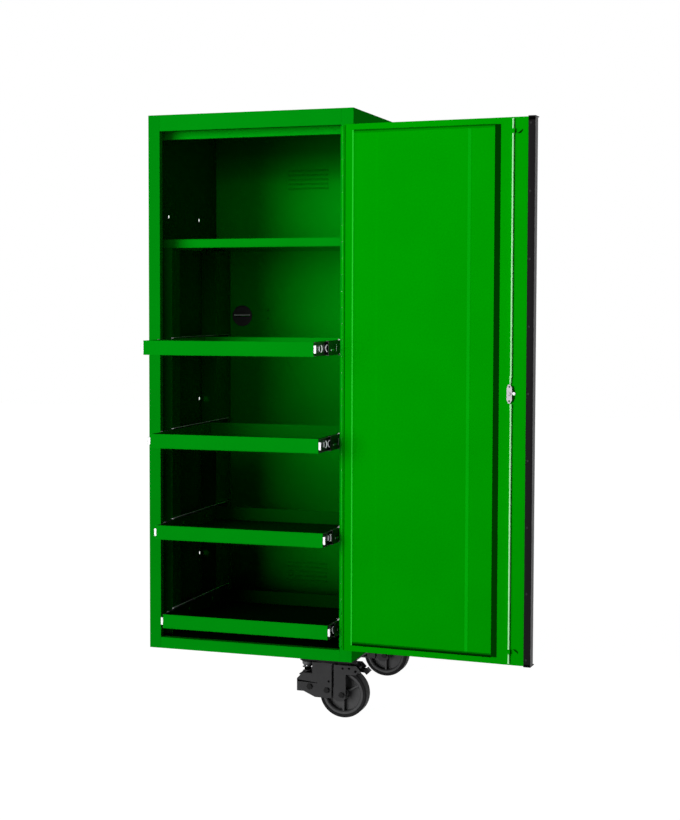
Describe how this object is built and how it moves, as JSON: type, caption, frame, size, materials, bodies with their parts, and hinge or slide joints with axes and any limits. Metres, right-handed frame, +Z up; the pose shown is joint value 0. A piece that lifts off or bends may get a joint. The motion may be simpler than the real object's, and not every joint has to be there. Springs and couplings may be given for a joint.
{
  "type": "tool chest side locker",
  "caption": "Tall steel side locker with an inset full-height door, a fixed shelf, slide-out trays and sprung casters under its free side.",
  "frame": {"origin": "centre of the bolt rectangle on the outer face of the left side", "axes": "+X to the right seen from the front, +Y towards the back, +Z up; -X points out of the face that bolts to the chest"},
  "size_m": [1.1229, 0.9355, 1.7128],
  "materials": {
    "body_green": "powder coat, slightly orange-peeled, semi-gloss",
    "door_green": "powder coat, slightly orange-peeled, semi-gloss",
    "slide_black": "black electro-coated steel, semi-gloss",
    "zinc_steel": "bright zinc plate",
    "black_aluminium": "black anodised, satin",
    "black_plastic": "moulded, fine texture",
    "caster_black": "black electro-coat over pressed steel, satin",
    "wheel_grey": "moulded nylon, satin",
    "tyre_black": "smooth polyurethane tread",
    "spring_steel": "dark phosphate"
  },
  "bodies": {
    "root": {"left_side_panel": "body_green", "right_side_panel": "body_green", "left_stile": "body_green", "right_stile": "body_green", "header_rail": "body_green", "sill_rail": "body_green", "top_panel": "body_green", "floor_panel": "body_green", "rear_panel": "body_green", "inner_back_panel": "body_green", "header_stop": "body_green", "fixed_shelf": "body_green", "slide_uprights": "body_green", "hinge_frame_leaf": "body_green", "hinge_pin": "zinc_steel", "slide_outer_members": "slide_black", "cable_grommet": "black_plastic", "caster_mounts": "caster_black", "floor_channels": "caster_black", "caster_bolts": "zinc_steel"},
    "door": {"door_skin": "door_green", "door_liner": "door_green", "door_stiffener": "door_green", "door_lock_channel": "door_green", "hinge_door_leaf": "door_green", "pull_handle": "black_aluminium", "pull_end_caps": "black_plastic", "pull_screws": "slide_black", "lock_cylinder": "zinc_steel"},
    "lock_cam": {"lock_cam": "zinc_steel"},
    "upper_lock_rod": {"upper_lock_rod": "zinc_steel"},
    "lower_lock_rod": {"lower_lock_rod": "zinc_steel"},
    "tray_1": {"tray_1": "body_green", "slide_inner_1": "slide_black"},
    "slide_middle_1": {"slide_middle_1": "slide_black"},
    "tray_2": {"tray_2": "body_green", "slide_inner_2": "slide_black"},
    "slide_middle_2": {"slide_middle_2": "slide_black"},
    "tray_3": {"tray_3": "body_green", "slide_inner_3": "slide_black"},
    "slide_middle_3": {"slide_middle_3": "slide_black"},
    "tray_4": {"tray_4": "body_green", "slide_inner_4": "slide_black"},
    "slide_middle_4": {"slide_middle_4": "slide_black"},
    "front_caster_yoke": {"front_caster_yoke": "caster_black", "front_caster_spring": "spring_steel"},
    "front_caster_rocker": {"front_caster_rocker": "caster_black", "front_caster_pins": "caster_black"},
    "front_caster_wheel": {"front_caster_wheel": "wheel_grey", "front_caster_tyre": "tyre_black"},
    "front_caster_draw_bolt": {"front_caster_draw_bolt": "zinc_steel"},
    "front_caster_brake_lever": {"front_caster_brake_lever": "caster_black"},
    "rear_caster_yoke": {"rear_caster_yoke": "caster_black", "rear_caster_spring": "spring_steel"},
    "rear_caster_rocker": {"rear_caster_rocker": "caster_black", "rear_caster_pins": "caster_black"},
    "rear_caster_wheel": {"rear_caster_wheel": "wheel_grey", "rear_caster_tyre": "tyre_black"},
    "rear_caster_draw_bolt": {"rear_caster_draw_bolt": "zinc_steel"},
    "rear_caster_brake_lever": {"rear_caster_brake_lever": "caster_black"}
  },
  "joints": [
    {"name": "door_hinge", "type": "hinge", "parent": "root", "child": "door", "pos_m": [0.5806, -0.274, 0.026], "axis": [0, 0, 1], "range_deg": [-56, 3.2]},
    {"name": "lock_turn", "type": "hinge", "parent": "door", "child": "lock_cam", "pos_m": [1.05818, -0.33065, 0.025], "axis": [-0.0558, -0.9984, 0], "range_deg": [0, 90]},
    {"name": "upper_rod_slide", "type": "slide", "parent": "door", "child": "upper_lock_rod", "axis": [0, 0, 1], "range_m": [0, 0.014]},
    {"name": "lower_rod_slide", "type": "slide", "parent": "door", "child": "lower_lock_rod", "axis": [0, 0, -1], "range_m": [0, 0.0141]},
    {"name": "tray_1_slide", "type": "slide", "parent": "root", "child": "tray_1", "axis": [0, -1, 0], "range_m": [-0.2155, 0.2415]},
    {"name": "tray_1_middle_slide", "type": "slide", "parent": "root", "child": "slide_middle_1", "axis": [0, -1, 0], "range_m": [-0.10775, 0.12075]},
    {"name": "tray_2_slide", "type": "slide", "parent": "root", "child": "tray_2", "axis": [0, -1, 0], "range_m": [-0.1705, 0.2865]},
    {"name": "tray_2_middle_slide", "type": "slide", "parent": "root", "child": "slide_middle_2", "axis": [0, -1, 0], "range_m": [-0.08525, 0.14325]},
    {"name": "tray_3_slide", "type": "slide", "parent": "root", "child": "tray_3", "axis": [0, -1, 0], "range_m": [-0.129, 0.328]},
    {"name": "tray_3_middle_slide", "type": "slide", "parent": "root", "child": "slide_middle_3", "axis": [0, -1, 0], "range_m": [-0.0645, 0.164]},
    {"name": "tray_4_slide", "type": "slide", "parent": "root", "child": "tray_4", "axis": [0, -1, 0], "range_m": [-0.0825, 0.3745]},
    {"name": "tray_4_middle_slide", "type": "slide", "parent": "root", "child": "slide_middle_4", "axis": [0, -1, 0], "range_m": [-0.04125, 0.18725]},
    {"name": "front_caster_swivel", "type": "hinge", "parent": "root", "child": "front_caster_yoke", "pos_m": [0.506, -0.1645, -0.744], "axis": [0, 0, 1], "continuous": true},
    {"name": "front_caster_suspension", "type": "hinge", "parent": "front_caster_yoke", "child": "front_caster_rocker", "pos_m": [0.515, -0.1645, -0.837], "axis": [0, -1, 0], "range_deg": [0, 4.5], "stiffness_Nm_per_rad": 300, "springref_deg": -1.15},
    {"name": "front_caster_draw_bolt_slide", "type": "slide", "parent": "front_caster_yoke", "child": "front_caster_draw_bolt", "axis": [0, 0, -1], "range_m": [0, 0.0054], "deforming": ["front_caster_spring"]},
    {"name": "front_caster_wheel_spin", "type": "hinge", "parent": "front_caster_rocker", "child": "front_caster_wheel", "pos_m": [0.56, -0.1645, -0.8468], "axis": [0, 1, 0], "continuous": true},
    {"name": "front_caster_brake_turn", "type": "hinge", "parent": "front_caster_rocker", "child": "front_caster_brake_lever", "pos_m": [0.601, -0.1645, -0.777], "axis": [0, 1, 0], "range_deg": [0, 20]},
    {"name": "rear_caster_swivel", "type": "hinge", "parent": "root", "child": "rear_caster_yoke", "pos_m": [0.48, 0.3875, -0.744], "axis": [0, 0, 1], "continuous": true},
    {"name": "rear_caster_suspension", "type": "hinge", "parent": "rear_caster_yoke", "child": "rear_caster_rocker", "pos_m": [0.489, 0.3875, -0.837], "axis": [0, -1, 0], "range_deg": [0, 4.5], "stiffness_Nm_per_rad": 300, "springref_deg": -1.15},
    {"name": "rear_caster_draw_bolt_slide", "type": "slide", "parent": "rear_caster_yoke", "child": "rear_caster_draw_bolt", "axis": [0, 0, -1], "range_m": [0, 0.0054], "deforming": ["rear_caster_spring"]},
    {"name": "rear_caster_wheel_spin", "type": "hinge", "parent": "rear_caster_rocker", "child": "rear_caster_wheel", "pos_m": [0.534, 0.3875, -0.8468], "axis": [0, 1, 0], "continuous": true},
    {"name": "rear_caster_brake_turn", "type": "hinge", "parent": "rear_caster_rocker", "child": "rear_caster_brake_lever", "pos_m": [0.575, 0.3875, -0.777], "axis": [0, 1, 0], "range_deg": [0, 20]}
  ],
  "couplings": [
    {"joint": "lock_turn", "follows": "upper_rod_slide", "rad_per_m": 112.19},
    {"joint": "lower_rod_slide", "follows": "upper_rod_slide", "ratio": 1},
    {"joint": "tray_1_middle_slide", "follows": "tray_1_slide", "ratio": 0.5},
    {"joint": "tray_2_middle_slide", "follows": "tray_2_slide", "ratio": 0.5},
    {"joint": "tray_3_middle_slide", "follows": "tray_3_slide", "ratio": 0.5},
    {"joint": "tray_4_middle_slide", "follows": "tray_4_slide", "ratio": 0.5},
    {"joint": "front_caster_draw_bolt_slide", "follows": "front_caster_suspension", "m_per_rad": 0.067},
    {"joint": "rear_caster_draw_bolt_slide", "follows": "rear_caster_suspension", "m_per_rad": 0.067}
  ]
}
